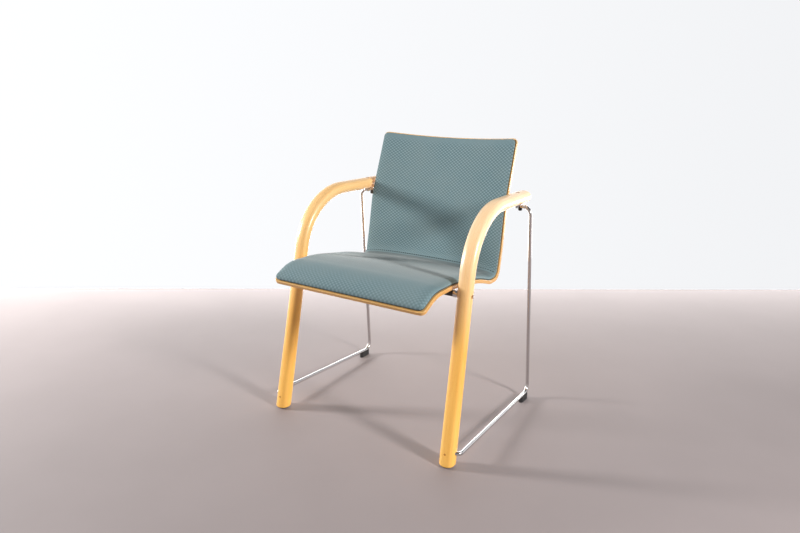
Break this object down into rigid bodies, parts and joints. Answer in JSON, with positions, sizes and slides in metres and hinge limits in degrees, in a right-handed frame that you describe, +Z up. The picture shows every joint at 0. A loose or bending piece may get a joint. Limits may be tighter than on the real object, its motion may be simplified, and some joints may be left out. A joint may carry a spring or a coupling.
{
  "type": "visitor chair",
  "caption": "Visitor chair with bent wooden front legs that run back as armrests, a bent steel rod frame behind and a padded plywood shell seat.",
  "frame": {"origin": "centre of the bounding box on the floor", "axes": "+X the sitter's left, the front of the chair faces -Y, +Z up"},
  "size_m": [0.6314, 0.5628, 0.7805],
  "materials": {
    "beech": "clear lacquered bent beech, golden, semi-gloss",
    "plywood": "clear lacquered moulded plywood with layered edge",
    "plug_wood": "lacquered wood plug, darker than the arm",
    "bright_steel": "bright chromed steel",
    "dark_steel": "dark grey painted steel",
    "zinc": "zinc plated",
    "black_plastic": "black moulded plastic",
    "cloth": "grey-green woven cloth with light dots in a diagonal lattice"
  },
  "bodies": {
    "root": {"side_left": "beech", "side_right": "beech", "rod_left": "bright_steel", "rod_right": "bright_steel", "back_rail": "bright_steel", "bracket_left": "dark_steel", "bracket_right": "dark_steel", "bracket_screws": "zinc", "tongue_left": "bright_steel", "tongue_right": "bright_steel", "arm_bolt_left": "zinc", "arm_bolt_right": "zinc", "arm_nut_left": "zinc", "arm_nut_right": "zinc", "arm_plug_left": "plug_wood", "arm_plug_right": "plug_wood", "buffer_left": "black_plastic", "buffer_right": "black_plastic", "runner_glide_left": "black_plastic", "runner_glide_right": "black_plastic", "disc_glide_left": "black_plastic", "disc_glide_right": "black_plastic", "lock_plug_left": "plug_wood", "lock_plug_right": "plug_wood", "cross_bar": "dark_steel", "sleeve_left": "bright_steel", "sleeve_right": "bright_steel", "leg_bolt_left": "dark_steel", "leg_bolt_right": "dark_steel", "saddle_left": "black_plastic", "saddle_right": "black_plastic", "saddle_screws": "zinc", "ply_shell": "plywood", "seat_pad": "cloth", "back_pad": "cloth"}
  },
  "joints": []
}
